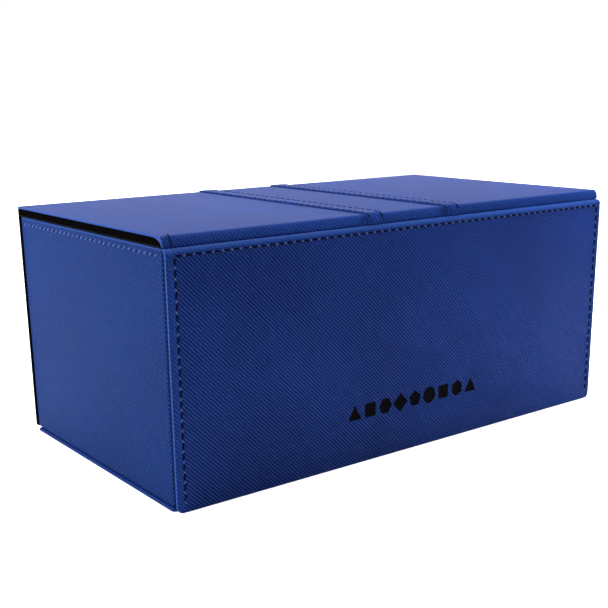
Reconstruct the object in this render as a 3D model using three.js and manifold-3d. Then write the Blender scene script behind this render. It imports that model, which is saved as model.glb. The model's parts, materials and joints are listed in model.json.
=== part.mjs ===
// A miniature carry case: a long box wrapped in cross-grain leatherette, with a lid that folds back
// on a leather spine, a front flap that hangs from the lid and snaps shut on magnets, and two foam
// trays inside, one on the other.
//
// Millimetres. +Z is up, +X runs along the length and the front of the case faces -Y. The origin is
// the middle of the footprint, on the surface that the case stands on.

import * as THREE from 'three';
import { mergeVertices } from 'three/addons/utils/BufferGeometryUtils.js';
import Module from 'manifold-3d';

const wasm = await Module();
wasm.setup();

// ---- Driving dimensions -------------------------------------------------------------------------

const LENGTH = 265;
const DEPTH = 146.5;
const LID_TOP = 115;
const TRAY_TOP = 110;
const GLUE = 0.1; // a glue line between two layers
const RUNNING_GAP = 0.35; // between pieces that move apart
const SKIN = 0.9; // leatherette on the box
const LINING = 0.7;
const BOARD = 2.4;

const FRONT_Y = -DEPTH / 2;
const BACK_Y = DEPTH / 2;
const HALF_LENGTH = LENGTH / 2;

const BASE = { thickness: 1.4, frontY: -69.5, rearY: 69 };
const TRAY = { halfLength: 131.7, frontY: -69.35, rearY: 69.3, skinBottom: 2.4, hem: 15 };
const BACK = { bottom: 1.8, boardRearY: 72.3, skinInset: 0.8 };
const LID = { skin: 1, rearY: 71, flatFrontY: -68.45, rollDepth: 2.6, rollFoot: 110.5, boardInset: 0.3 };
const SEAM = { offset: 23.9, width: 9.5, rise: 0.6, foot: 112.4 };
const SPINE = { frontY: 72, rearY: 73.2, top: 113.3 };
const PAD = { thickness: 3, halfLength: 125.5, frontY: -63.5, rearY: 60 };
const FLAP = { skin: 1.3, board: 1.3, lining: 0.5, bottom: 0.3, top: 110.2, corner: 3, ridgeRadius: 2.2 };
const FLAP_BOARD_INSET = 1;
const MAGNET = { radius: 7, x: 88, z: 17, holeGap: 0.3, wallThickness: 2, flapThickness: 1.1 };
const FOAM = { halfLength: 126.75, sideGap: 0.75, body: 47.6, base: 3, bottom: 4.8 };
const LOWER_POCKETS = { columns: 4, rows: 2, wall: 8 };
const UPPER_POCKETS = { columns: 5, rows: 2, wall: 8 };

// ---- Materials ----------------------------------------------------------------------------------

const leatherette = () => new THREE.MeshStandardMaterial({ color: 0x23408c, roughness: 0.5, metalness: 0 });
const blackBoard = () => new THREE.MeshStandardMaterial({ color: 0x0c0c10, roughness: 0.8, metalness: 0 });
const greyBoard = () => new THREE.MeshStandardMaterial({ color: 0x77726a, roughness: 0.9, metalness: 0 });
const blackFelt = () => new THREE.MeshStandardMaterial({ color: 0x101014, roughness: 0.95, metalness: 0 });
const foam = () => new THREE.MeshStandardMaterial({ color: 0x1c1c1f, roughness: 1, metalness: 0 });
const nickel = () => new THREE.MeshStandardMaterial({ color: 0xb8b8b6, roughness: 0.3, metalness: 1 });

// ---- Shapes -------------------------------------------------------------------------------------

const X_AXIS = new THREE.Vector3(1, 0, 0);
const Y_AXIS = new THREE.Vector3(0, 1, 0);
const Z_AXIS = new THREE.Vector3(0, 0, 1);

/** A box between two limits on each axis. */
function slab([x0, x1], [y0, y1], [z0, z1]) {
  const box = new THREE.BoxGeometry(x1 - x0, y1 - y0, z1 - z0);
  return box.translate((x0 + x1) / 2, (y0 + y1) / 2, (z0 + z1) / 2);
}

function extrude(shape, depth) {
  return new THREE.ExtrudeGeometry(shape, { depth, bevelEnabled: false, steps: 1, curveSegments: 8 });
}

/** A shape drawn in (Y, Z), extruded along X from x0 to x1. */
function alongX(shape, [x0, x1]) {
  const turn = new THREE.Matrix4().makeBasis(Y_AXIS, Z_AXIS, X_AXIS);
  return extrude(shape, x1 - x0).applyMatrix4(turn).translate(x0, 0, 0);
}

/** A shape drawn in (X, Z), extruded along Y from y0 to y1. */
function alongY(shape, [y0, y1]) {
  const turn = new THREE.Matrix4().makeBasis(X_AXIS, Z_AXIS, Y_AXIS.clone().negate());
  return extrude(shape, y1 - y0).applyMatrix4(turn).translate(0, y1, 0);
}

function rectangle([x0, x1], [y0, y1]) {
  const outline = new THREE.Shape();
  outline.moveTo(x0, y0);
  outline.lineTo(x1, y0);
  outline.lineTo(x1, y1);
  outline.lineTo(x0, y1);
  outline.closePath();
  return outline;
}

/** A closed geometry as a manifold solid. */
function solidOf(geometry) {
  const bare = geometry.clone();
  bare.deleteAttribute('normal');
  bare.deleteAttribute('uv');
  const merged = mergeVertices(bare, 1e-4);
  const vertProperties = new Float32Array(merged.attributes.position.array);
  const triVerts = new Uint32Array(merged.index.array);
  return new wasm.Manifold(new wasm.Mesh({ numProp: 3, vertProperties, triVerts }));
}

/** A manifold solid as a geometry with flat faces. */
function geometryOf(solid) {
  const { vertProperties, triVerts } = solid.getMesh();
  const geometry = new THREE.BufferGeometry();
  geometry.setAttribute('position', new THREE.BufferAttribute(new Float32Array(vertProperties), 3));
  geometry.setIndex(new THREE.BufferAttribute(new Uint32Array(triVerts), 1));
  const flat = geometry.toNonIndexed();
  flat.computeVertexNormals();
  return flat;
}

const joined = (...pieces) => geometryOf(pieces.map(solidOf).reduce((all, next) => all.add(next)));
const common = (a, b) => geometryOf(solidOf(a).intersect(solidOf(b)));

/** A geometry with every one of the tools cut out of it. */
function cut(whole, tools) {
  const removed = tools.map(solidOf).reduce((all, next) => all.add(next));
  return geometryOf(solidOf(whole).subtract(removed));
}

const caseGroup = new THREE.Group();
const sides = [['left', -1], ['right', 1]];

/** Adds a named piece to a group. */
function piece(group, name, geometry, material) {
  const mesh = new THREE.Mesh(geometry, material);
  mesh.name = name;
  group.add(mesh);
}

/** The same limits on the left (-1) or the right (+1) side of the case. */
const onSide = (side, [near, far]) => (side < 0 ? [-far, -near] : [near, far]);

// ---- Box: layers from the outside in -------------------------------------------------------------

const endSkin = [TRAY.halfLength - SKIN, TRAY.halfLength];
const endBoard = [endSkin[0] - GLUE - BOARD, endSkin[0] - GLUE];
const endLining = [endBoard[0] - GLUE - LINING, endBoard[0] - GLUE];
const frontSkin = [TRAY.frontY, TRAY.frontY + SKIN];
const frontBoard = [frontSkin[1] + GLUE, frontSkin[1] + GLUE + BOARD];
const frontLining = [frontBoard[1] + GLUE, frontBoard[1] + GLUE + LINING];
const rearBoard = [TRAY.rearY - BOARD, TRAY.rearY];
const rearLining = [rearBoard[0] - GLUE - LINING, rearBoard[0] - GLUE];
const floorBoard = [BASE.thickness + GLUE, BASE.thickness + GLUE + BOARD];
const floorLining = [floorBoard[1] + GLUE, floorBoard[1] + GLUE + LINING];
const wallBottom = floorBoard[1] + GLUE;
const wallBoardTop = TRAY_TOP - SKIN - GLUE;
const hemBottom = TRAY_TOP - TRAY.hem;

/** The bottom panel of the wrap, and the boxed floor that is glued to it. */
function addFloor(group) {
  const wide = [-HALF_LENGTH, HALF_LENGTH];
  const boxed = [-endSkin[0] + GLUE, endSkin[0] - GLUE];
  const inside = [-endLining[0] + GLUE, endLining[0] - GLUE];
  const underWalls = [frontSkin[1] + GLUE, TRAY.rearY];
  const betweenWalls = [frontLining[1] + GLUE, rearLining[0] - GLUE];
  piece(group, 'base_cover', slab(wide, [BASE.frontY, BASE.rearY], [0, BASE.thickness]), leatherette());
  piece(group, 'floor_board', slab(boxed, underWalls, floorBoard), blackBoard());
  piece(group, 'floor_lining', slab(inside, betweenWalls, floorLining), blackFelt());
}

/** An end wall: a board with a leatherette cover hemmed over its top edge, and a felt lining. */
function addEndWall(group, name, side) {
  const skin = onSide(side, endSkin);
  const inner = onSide(side, endLining);
  const capped = onSide(side, [endLining[0], endSkin[1]]);
  const capY = [frontLining[1] + GLUE, rearLining[0] - GLUE];
  const cover = joined(
    slab(skin, [TRAY.frontY, TRAY.rearY], [TRAY.skinBottom, TRAY_TOP]),
    slab(capped, capY, [TRAY_TOP - SKIN, TRAY_TOP]),
    slab(inner, capY, [hemBottom, TRAY_TOP]),
  );
  const boardX = onSide(side, endBoard);
  const boardY = [frontBoard[0], TRAY.rearY];
  piece(group, `${name}_end_cover`, cover, leatherette());
  piece(group, `${name}_end_board`, slab(boardX, boardY, [wallBottom, wallBoardTop]), greyBoard());
  piece(group, `${name}_end_lining`, slab(inner, capY, [wallBottom, hemBottom - GLUE]), blackFelt());
}

/** The front wall under the flap, with a hole through its board for each magnet. */
function addFrontWall(group) {
  const coverX = [-endSkin[0] + GLUE, endSkin[0] - GLUE];
  const innerX = [-endBoard[0] + GLUE, endBoard[0] - GLUE];
  const cover = joined(
    slab(coverX, frontSkin, [TRAY.skinBottom, TRAY_TOP]),
    slab(coverX, [frontSkin[0], frontLining[1]], [TRAY_TOP - SKIN, TRAY_TOP]),
    slab(innerX, frontLining, [hemBottom, TRAY_TOP]),
  );
  piece(group, 'front_wall_cover', cover, leatherette());
  const board = boardWithMagnetHoles(innerX, [wallBottom, wallBoardTop], frontBoard);
  piece(group, 'front_wall_board', board, greyBoard());
  piece(group, 'front_wall_lining', slab(innerX, frontLining, [wallBottom, hemBottom - GLUE]), blackFelt());
  addMagnets(group, 'wall_magnet', MAGNET.wallThickness, frontBoard);
}

/** An upright board with one round hole at each end for a magnet. */
function boardWithMagnetHoles(xs, zs, ys) {
  const outline = rectangle(xs, zs);
  for (const [, side] of sides) {
    const hole = new THREE.Path();
    hole.absarc(side * MAGNET.x, MAGNET.z, MAGNET.radius + MAGNET.holeGap, 0, 2 * Math.PI);
    outline.holes.push(hole);
  }
  return alongY(outline, ys);
}

/** A disc magnet in each hole of a board, in the middle of the board's thickness. */
function addMagnets(group, name, thickness, [y0, y1]) {
  for (const [sideName, side] of sides) {
    const disc = new THREE.CylinderGeometry(MAGNET.radius, MAGNET.radius, thickness, 32);
    const magnet = new THREE.Mesh(disc, nickel());
    magnet.name = `${name}_${sideName}`;
    magnet.position.set(side * MAGNET.x, (y0 + y1) / 2, MAGNET.z);
    group.add(magnet);
  }
}

/** The box's rear wall, and the wrap's back panel behind it. */
function addRear(group) {
  const innerX = [-endBoard[0] + GLUE, endBoard[0] - GLUE];
  const rearTop = TRAY_TOP - GLUE;
  piece(group, 'rear_wall_board', slab(innerX, rearBoard, [wallBottom, rearTop]), blackBoard());
  piece(group, 'rear_wall_lining', slab(innerX, rearLining, [wallBottom, rearTop]), blackFelt());
  const wide = [-HALF_LENGTH + LID.boardInset, HALF_LENGTH - LID.boardInset];
  const panel = [BACK.bottom, TRAY_TOP];
  piece(group, 'back_board', slab(wide, [TRAY.rearY + GLUE, BACK.boardRearY], panel), blackBoard());
  const skinX = [-HALF_LENGTH + BACK.skinInset, HALF_LENGTH - BACK.skinInset];
  piece(group, 'back_cover', slab(skinX, [BACK.boardRearY + GLUE, BACK_Y], panel), leatherette());
  const spineZ = [TRAY_TOP + GLUE, SPINE.top];
  piece(group, 'hinge_spine', slab(skinX, [SPINE.frontY, SPINE.rearY], spineZ), leatherette());
}

// ---- Foam trays ---------------------------------------------------------------------------------

const foamY = [frontLining[1] + FOAM.sideGap, rearLining[0] - FOAM.sideGap];

/** A foam block with rows of pockets cut right through it, glued to a thin foam base. */
function addFoamTray(group, name, bottom, { columns, rows, wall }) {
  const foamX = [-FOAM.halfLength, FOAM.halfLength];
  const blockZ = [bottom + FOAM.base + GLUE, bottom + FOAM.base + GLUE + FOAM.body];
  const throughZ = [blockZ[0] - 1, blockZ[1] + 1];
  const pocketX = (foamX[1] - foamX[0] - (columns + 1) * wall) / columns;
  const pocketY = (foamY[1] - foamY[0] - (rows + 1) * wall) / rows;
  const pockets = [];
  for (let column = 0; column < columns; column += 1) {
    for (let row = 0; row < rows; row += 1) {
      const x = foamX[0] + wall + column * (pocketX + wall);
      const y = foamY[0] + wall + row * (pocketY + wall);
      pockets.push(slab([x, x + pocketX], [y, y + pocketY], throughZ));
    }
  }
  piece(group, `${name}_foam_base`, slab(foamX, foamY, [bottom, bottom + FOAM.base]), foam());
  piece(group, `${name}_foam_tray`, cut(slab(foamX, foamY, blockZ), pockets), foam());
}

// ---- Lid ----------------------------------------------------------------------------------------

/** The lid's skin in (Y, Z): flat on top, then an elliptical roll down over the front edge to a foot. */
function lidSection(outerGrowth, thickness, foot) {
  const rise = LID_TOP - LID.rollFoot;
  const outer = [LID.rollDepth + outerGrowth, rise + outerGrowth];
  const inner = [outer[0] - thickness, outer[1] - thickness];
  const footAngle = (radii) => Math.PI - Math.asin((foot - LID.rollFoot) / radii[1]);
  const section = new THREE.Shape();
  section.moveTo(LID.rearY, LID.rollFoot + outer[1]);
  section.lineTo(LID.flatFrontY, LID.rollFoot + outer[1]);
  section.absellipse(LID.flatFrontY, LID.rollFoot, ...outer, Math.PI / 2, footAngle(outer), false, 0);
  section.lineTo(LID.flatFrontY + inner[0] * Math.cos(footAngle(inner)), foot);
  section.absellipse(LID.flatFrontY, LID.rollFoot, ...inner, footAngle(inner), Math.PI / 2, true, 0);
  section.lineTo(LID.rearY, LID.rollFoot + inner[1]);
  section.closePath();
  return section;
}

/** The lid's board, whose front edge is rounded to fill the roll. */
function lidBoard(liningTop) {
  const radii = [LID.rollDepth - LID.skin - GLUE, LID_TOP - LID.rollFoot - LID.skin - GLUE];
  const foot = LID.rollFoot + GLUE;
  const section = new THREE.Shape();
  section.moveTo(LID.rearY, liningTop + GLUE);
  section.lineTo(LID.rearY, foot + radii[1] - GLUE);
  section.lineTo(LID.flatFrontY, foot + radii[1] - GLUE);
  section.absellipse(LID.flatFrontY, foot, radii[0], radii[1] - GLUE, Math.PI / 2, Math.PI, false, 0);
  section.lineTo(LID.flatFrontY, liningTop + GLUE);
  section.closePath();
  return section;
}

/** The lid: board, lining and foam pad, under three leatherette panels joined by two felled seams. */
function addLid(group) {
  const boardX = [-HALF_LENGTH + LID.boardInset, HALF_LENGTH - LID.boardInset];
  const liningZ = [TRAY_TOP + RUNNING_GAP, TRAY_TOP + RUNNING_GAP + FLAP.lining];
  const padTop = liningZ[0] - GLUE;
  const padX = [-PAD.halfLength, PAD.halfLength];
  piece(group, 'lid_board', alongX(lidBoard(liningZ[1]), boardX), blackBoard());
  piece(group, 'lid_lining', slab(boardX, [LID.flatFrontY, LID.rearY], liningZ), blackFelt());
  piece(group, 'lid_pad', slab(padX, [PAD.frontY, PAD.rearY], [padTop - PAD.thickness, padTop]), foam());

  const section = lidSection(0, LID.skin, LID.rollFoot);
  const joint = RUNNING_GAP / 2;
  const panels = {
    left: [-HALF_LENGTH, -SEAM.offset - joint],
    centre: [-SEAM.offset + joint, SEAM.offset - joint],
    right: [SEAM.offset + joint, HALF_LENGTH],
  };
  for (const [name, xs] of Object.entries(panels)) {
    piece(group, `lid_skin_${name}`, alongX(section, xs), leatherette());
  }
  const strip = lidSection(GLUE + SEAM.rise, SEAM.rise, SEAM.foot);
  for (const [name, side] of sides) {
    const middle = side * SEAM.offset;
    const xs = [middle - SEAM.width / 2, middle + SEAM.width / 2];
    piece(group, `lid_seam_${name}`, alongX(strip, xs), leatherette());
  }
}

// ---- Flap ---------------------------------------------------------------------------------------

/** The facing's section in (Y, Z): a sheet whose top edge swells into a rounded ridge. */
function facingSection() {
  const back = FRONT_Y + FLAP.skin;
  const crown = FLAP.top - FLAP.ridgeRadius;
  const ridgeY = FRONT_Y + FLAP.ridgeRadius;
  const section = new THREE.Shape();
  section.moveTo(back, FLAP.bottom);
  section.lineTo(back, FLAP.top - FLAP_BOARD_INSET);
  section.lineTo(ridgeY, FLAP.top - FLAP_BOARD_INSET);
  section.lineTo(ridgeY, FLAP.top);
  section.absarc(ridgeY, crown, FLAP.ridgeRadius, Math.PI / 2, Math.PI, false);
  section.lineTo(FRONT_Y, FLAP.bottom);
  section.closePath();
  return section;
}

/** The flap's outline in (X, Z): square at the top and rounded at the two bottom corners. */
function flapOutline(inset) {
  const x = HALF_LENGTH - inset;
  const bottom = FLAP.bottom + inset;
  const radius = FLAP.corner - inset;
  const outline = new THREE.Shape();
  outline.moveTo(-x, FLAP.top + 1);
  outline.lineTo(-x, bottom + radius);
  outline.absarc(-x + radius, bottom + radius, radius, Math.PI, 1.5 * Math.PI, false);
  outline.lineTo(x - radius, bottom);
  outline.absarc(x - radius, bottom + radius, radius, 1.5 * Math.PI, 2 * Math.PI, false);
  outline.lineTo(x, FLAP.top + 1);
  outline.closePath();
  return outline;
}

/** The front flap: leatherette facing, black board with two magnets, and a thin lining. */
function addFlap(group) {
  const facing = common(
    alongX(facingSection(), [-HALF_LENGTH, HALF_LENGTH]),
    alongY(flapOutline(0), [FRONT_Y - 1, FRONT_Y + FLAP.ridgeRadius + 1]),
  );
  piece(group, 'flap_facing', facing, leatherette());
  const xs = [-HALF_LENGTH + FLAP_BOARD_INSET, HALF_LENGTH - FLAP_BOARD_INSET];
  const zs = [FLAP.bottom + FLAP_BOARD_INSET, FLAP.top - FLAP_BOARD_INSET - GLUE];
  const boardFront = FRONT_Y + FLAP.skin + GLUE;
  const boardY = [boardFront, boardFront + FLAP.board];
  const liningY = [boardY[1] + GLUE, boardY[1] + GLUE + FLAP.lining];
  piece(group, 'flap_board', boardWithMagnetHoles(xs, zs, boardY), blackBoard());
  piece(group, 'flap_lining', slab(xs, liningY, zs), blackFelt());
  addMagnets(group, 'flap_magnet', MAGNET.flapThickness, boardY);
}

// ---- The whole case -----------------------------------------------------------------------------

const tray = new THREE.Group();
addFloor(tray);
for (const [name, side] of sides) addEndWall(tray, name, side);
addFrontWall(tray);
addRear(tray);
const trayPitch = FOAM.base + GLUE + FOAM.body + GLUE;
addFoamTray(tray, 'lower', FOAM.bottom, LOWER_POCKETS);
addFoamTray(tray, 'upper', FOAM.bottom + trayPitch, UPPER_POCKETS);

const lid = new THREE.Group();
addLid(lid);

const flap = new THREE.Group();
addFlap(flap);

caseGroup.add(tray, lid, flap);

export default caseGroup;
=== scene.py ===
# %% [markdown]
# # A leatherette case for tabletop miniatures
# The case is a stiff box in a wrap of blue cross-grain leatherette. Its lid folds back on a leather
# spine and a full-height flap hangs from the lid's front edge. The hard pieces come from the CAD
# frame. This lesson makes everything that the eye rests on: the skins, their rolled edges, the
# stitching, the foam and the finishes.

# %% Load the frame
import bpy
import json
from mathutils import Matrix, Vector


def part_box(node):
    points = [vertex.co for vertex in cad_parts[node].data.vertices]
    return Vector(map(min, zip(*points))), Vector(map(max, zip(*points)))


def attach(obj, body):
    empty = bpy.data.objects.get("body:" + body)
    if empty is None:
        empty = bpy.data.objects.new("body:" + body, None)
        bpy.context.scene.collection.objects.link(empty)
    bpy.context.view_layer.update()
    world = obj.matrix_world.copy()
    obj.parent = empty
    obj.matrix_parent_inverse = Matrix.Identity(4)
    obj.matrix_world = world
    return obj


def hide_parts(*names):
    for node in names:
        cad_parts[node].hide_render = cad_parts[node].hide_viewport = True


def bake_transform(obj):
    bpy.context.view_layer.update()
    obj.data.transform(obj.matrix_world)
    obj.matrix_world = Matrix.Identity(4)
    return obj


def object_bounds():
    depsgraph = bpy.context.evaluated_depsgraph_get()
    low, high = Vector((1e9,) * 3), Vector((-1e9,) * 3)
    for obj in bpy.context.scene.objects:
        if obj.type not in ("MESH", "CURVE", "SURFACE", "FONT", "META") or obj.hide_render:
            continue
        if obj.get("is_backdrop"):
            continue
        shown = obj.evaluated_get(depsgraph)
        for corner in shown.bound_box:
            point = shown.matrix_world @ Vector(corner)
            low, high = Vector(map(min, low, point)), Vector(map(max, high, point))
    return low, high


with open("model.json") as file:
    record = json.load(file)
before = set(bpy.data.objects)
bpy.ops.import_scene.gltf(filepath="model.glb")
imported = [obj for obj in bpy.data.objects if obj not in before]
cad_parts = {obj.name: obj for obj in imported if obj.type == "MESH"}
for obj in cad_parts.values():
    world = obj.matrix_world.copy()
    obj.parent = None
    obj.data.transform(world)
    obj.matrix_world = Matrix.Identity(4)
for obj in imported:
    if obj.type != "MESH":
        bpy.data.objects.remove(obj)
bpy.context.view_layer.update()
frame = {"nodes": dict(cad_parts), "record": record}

# %% [markdown]
# ## Units and tools
# Blender works in metres here, and a maker thinks in millimetres, so MM turns one into the other.
# Every edit is done the way a hand would do it: one object is made active, edit mode is opened, and
# the faces, edges or corners to work on are picked by where they are. Picking by number isn't safe,
# because numbers change whenever an operator adds geometry.

# %% Selecting and editing
import json
import math

import bmesh
import bpy
from mathutils import Matrix, Vector

MM = 0.001
X, Y, Z = Vector((1, 0, 0)), Vector((0, 1, 0)), Vector((0, 0, 1))


def deselect_all():
    bpy.ops.object.select_all(action="DESELECT")


def select_only(obj):
    deselect_all()
    obj.select_set(True)
    bpy.context.view_layer.objects.active = obj


def open_edit(obj):
    select_only(obj)
    bpy.ops.object.mode_set(mode="EDIT")
    bpy.ops.mesh.select_all(action="DESELECT")


def close_edit():
    bpy.ops.object.mode_set(mode="OBJECT")


def pick(obj, kind, test):
    """In edit mode, selects the corners, edges or faces whose middle passes the test."""
    bpy.ops.mesh.select_mode(type=kind)
    bpy.ops.mesh.select_all(action="DESELECT")
    mesh = bmesh.from_edit_mesh(obj.data)
    if kind == "VERT":
        chosen = [v for v in mesh.verts if test(v.co)]
    elif kind == "EDGE":
        chosen = [e for e in mesh.edges if test((e.verts[0].co + e.verts[1].co) / 2, e)]
    else:
        chosen = [f for f in mesh.faces if test(f.calc_center_median(), f.normal)]
    for part in chosen:
        part.select_set(True)
    bmesh.update_edit_mesh(obj.data)
    return len(chosen)


def near(a, b, slack=0.02 * MM):
    return abs(a - b) < slack


# %% [markdown]
# Modifiers finish most pieces: Solidify gives a sheet its thickness and Bevel rounds its edges. Each
# is applied at once, so that the mesh which the next step picks from is the real one.


# %% Finishing with modifiers
def apply_modifier(obj, kind, **settings):
    select_only(obj)
    modifier = obj.modifiers.new(kind.title(), kind)
    for key, value in settings.items():
        setattr(modifier, key, value)
    bpy.ops.object.modifier_apply(modifier=modifier.name)


def smooth(obj):
    select_only(obj)
    bpy.ops.object.shade_smooth_by_angle(angle=math.radians(50))


def round_edges(obj, width, segments=3, angle=35):
    limit = math.radians(angle)
    apply_modifier(
        obj, "BEVEL", width=width, segments=segments, limit_method="ANGLE", angle_limit=limit
    )
    smooth(obj)


def thicken(obj, thickness):
    """Gives an open sheet its thickness, on the side away from its normals."""
    apply_modifier(obj, "SOLIDIFY", thickness=thickness, offset=-1, use_even_offset=True)


def merge_corners():
    """In edit mode, merges corners that share a place and makes the normals agree."""
    bpy.ops.mesh.select_all(action="SELECT")
    bpy.ops.mesh.remove_doubles(threshold=0.001 * MM)
    bpy.ops.mesh.normals_make_consistent(inside=False)


def face_towards(obj, direction):
    """Merges an open sheet's corners, and turns all its normals if they look the wrong way."""
    open_edit(obj)
    merge_corners()
    mesh = bmesh.from_edit_mesh(obj.data)
    if sum(f.normal.dot(direction) * f.calc_area() for f in mesh.faces) < 0:
        bpy.ops.mesh.flip_normals()
    close_edit()


# %% [markdown]
# Two starting shapes serve every piece. A block starts as a cube primitive at its size and place. A
# sheet starts as a plane primitive, laid flat. Its place is applied into the mesh at once, because a
# finished piece sits at the origin, unturned and unscaled, as the CAD nodes do.


# %% Starting shapes
def name_and_size(name, size):
    piece = bpy.context.object
    piece.name = piece.data.name = name
    piece.scale = size
    bpy.ops.object.transform_apply(location=True, rotation=True, scale=True)
    return piece


def start_block(name, low, high):
    low, high = Vector(low), Vector(high)
    deselect_all()
    bpy.ops.mesh.primitive_cube_add(size=1, location=(low + high) / 2)
    return name_and_size(name, high - low)


def start_sheet(name, low, high, height):
    """A flat plane from low to high (x, y) at a height."""
    deselect_all()
    middle = ((low[0] + high[0]) / 2, (low[1] + high[1]) / 2, height)
    bpy.ops.mesh.primitive_plane_add(size=1, location=middle)
    return name_and_size(name, (high[0] - low[0], high[1] - low[1], 1))


def slice_at(obj, points, direction):
    """Cuts lines right across a mesh, one through each point, square to a direction."""
    open_edit(obj)
    for point in points:
        bpy.ops.mesh.select_all(action="SELECT")
        bpy.ops.mesh.bisect(plane_co=point, plane_no=direction)
    close_edit()


# %% [markdown]
# Skins that turn a corner are drawn as a path. Their edge is extruded from one point of the path to
# the next, which keeps the faces even and follows any curve. Spin would give only round corners.


# %% Extruding along a path
def quarter(centre, reach, rise, start, end, steps):
    """Points (y, z) on an ellipse from one angle to another. Angle 0 is straight up."""
    turns = [start + (end - start) * n / steps for n in range(steps + 1)]
    return [(centre[0] + reach * math.sin(t), centre[1] + rise * math.cos(t)) for t in turns]


def extrude_path(path):
    """In edit mode, extrudes the selected edges through each (y, z) of a path in turn."""
    for (y, z), (next_y, next_z) in zip(path, path[1:]):
        move = (0, next_y - y, next_z - z)
        bpy.ops.mesh.extrude_edges_move(TRANSFORM_OT_translate={"value": move})


# %% [markdown]
# ## The camera, the floor and the light
# The camera stands to the left of the case and a little above it, with a slight upward shift. The
# floor is a pale sheet. The light is plain and soft: a large panel above, one on the left, and one
# behind that gives the lid its sheen. A small lamp far to the right rakes across the front and picks
# out the grain. It lights the film but isn't mirrored in it, because its mirror image would lie on
# the front as a grey haze.

# %% Camera
scene = bpy.context.scene
scene.view_settings.view_transform = "Standard"

EYE = Vector((-0.326, -0.4182, 0.1695))
SIGHT_LINE = Vector((0.57836, 0.76924, -0.27161))
CAMERA_ROLL = math.radians(-0.72)

camera_data = bpy.data.cameras.new("camera")
camera_data.sensor_width = 36
camera_data.lens = 60.76
camera_data.shift_y = 0.12
camera = bpy.data.objects.new("camera", camera_data)
camera.location = EYE
camera.rotation_mode = "QUATERNION"
level = SIGHT_LINE.to_track_quat("-Z", "Y")
camera.rotation_quaternion = level @ Matrix.Rotation(CAMERA_ROLL, 4, "Z").to_quaternion()
scene.collection.objects.link(camera)
scene.camera = camera
print("camera", [round(v, 3) for v in camera.location], camera_data.lens, "mm")


# %% Floor
floor = start_sheet("floor", (-6, -6), (6, 6), 0)
floor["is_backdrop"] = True


# %% Lights
def soft_panel(name, place, target, size, power, glossy=True):
    data = bpy.data.lights.new(name, "AREA")
    data.shape = "RECTANGLE"
    data.size, data.size_y = size
    data.energy = power
    lamp = bpy.data.objects.new(name, data)
    lamp.location = place
    lamp.rotation_mode = "QUATERNION"
    lamp.rotation_quaternion = (Vector(target) - Vector(place)).to_track_quat("-Z", "Y")
    lamp.visible_glossy = glossy
    scene.collection.objects.link(lamp)


CASE_MIDDLE = (0, 0, 0.06)
soft_panel("overhead_panel", (0.0, 0.3, 1.2), CASE_MIDDLE, (1.4, 1.0), 20)
soft_panel("left_panel", (-0.95, 0.55, 0.55), CASE_MIDDLE, (0.45, 0.45), 10.5)
soft_panel("rear_panel", (0.75, 1.15, 0.42), (0.05, 0, 0.11), (1.6, 0.7), 6.5)
soft_panel("right_rake", (0.6, -0.11, 0.3), (0.02, -0.07, 0.03), (0.06, 0.06), 4.5, glossy=False)

# %% [markdown]
# The surroundings are a white studio sweep. A sweep that is bright enough to look white would also
# flood the case with light and wash its blue out. The Light Path node tells the two apart: the eye
# sees the white sweep, and the case is lit by a dimmer one.


# %% Surroundings
def make_surroundings(seen, given):
    world = bpy.data.worlds.new("studio")
    world.use_nodes = True
    tree = world.node_tree
    sweep = tree.nodes["Background"]
    sweep.inputs["Color"].default_value = (1, 1, 1, 1)
    eye = tree.nodes.new("ShaderNodeLightPath").outputs["Is Camera Ray"]
    level = tree.nodes.new("ShaderNodeMath")
    level.operation = "MULTIPLY_ADD"
    tree.links.new(eye, level.inputs[0])
    level.inputs[1].default_value = seen - given
    level.inputs[2].default_value = given
    tree.links.new(level.outputs[0], sweep.inputs["Strength"])
    scene.world = world


make_surroundings(seen=1.0, given=0.17)

# %% [markdown]
# ## Measures from the frame
# Every size below comes from the CAD nodes or from a maker's habit: the grain of the leatherette, the
# pitch of the topstitching, the width of a hem.

# %% Measures
tray_low, tray_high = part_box("left_end_cover")[0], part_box("right_end_cover")[1]
lid_low, lid_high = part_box("lid_skin_left")[0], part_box("lid_skin_right")[1]
flap_low, flap_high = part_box("flap_facing")
back_low, back_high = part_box("back_cover")
seam_low, seam_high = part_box("lid_seam_left")

LID_TOP = lid_high.z
LID_REAR = lid_high.y
ROLL_DEPTH = 2.6 * MM
ROLL_RISE = LID_TOP - lid_low.z
FLAT_FRONT = lid_low.y + ROLL_DEPTH
ROLL_LENGTH = math.pi / 2 * math.sqrt((ROLL_DEPTH**2 + ROLL_RISE**2) / 2)
STITCH_PITCH = 4.45 * MM
GRAIN_PITCH = 1.34 * MM
print("lid top", LID_TOP, "roll", ROLL_DEPTH, ROLL_RISE, "flap", flap_low, flap_high)

# %% [markdown]
# ## The cross grain
# The leatherette is embossed with a lattice of fine ridges at 45 degrees. One set of ridges is
# strong and the set across it only notches it. The grain must follow the sheet round every fold, so
# it is drawn from a UV map in real metres: U runs along the case, and V runs along the skin, up the
# front, over the roll and back across the lid. A pattern on object coordinates would smear where the
# skin turns a corner.


# %% Unrolling the skin
def unrolled(point, normal):
    """Metres along the skin from the floor up the front, over the lid's roll and back."""
    if abs(normal.z) < 0.9 and point.z > lid_low.z - 0.1 * MM and point.y < FLAT_FRONT:
        up = (point.z - lid_low.z) / ROLL_RISE
        out = (FLAT_FRONT - point.y) / ROLL_DEPTH
        return lid_low.z + ROLL_LENGTH * math.atan2(up, max(out, 0)) / (math.pi / 2)
    if normal.z > 0.5:
        return lid_low.z + ROLL_LENGTH + point.y - FLAT_FRONT
    if normal.y > 0.5:
        return lid_low.z + ROLL_LENGTH + LID_REAR - FLAT_FRONT + LID_TOP - point.z
    if normal.z < -0.5:
        return point.y
    return point.z


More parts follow.
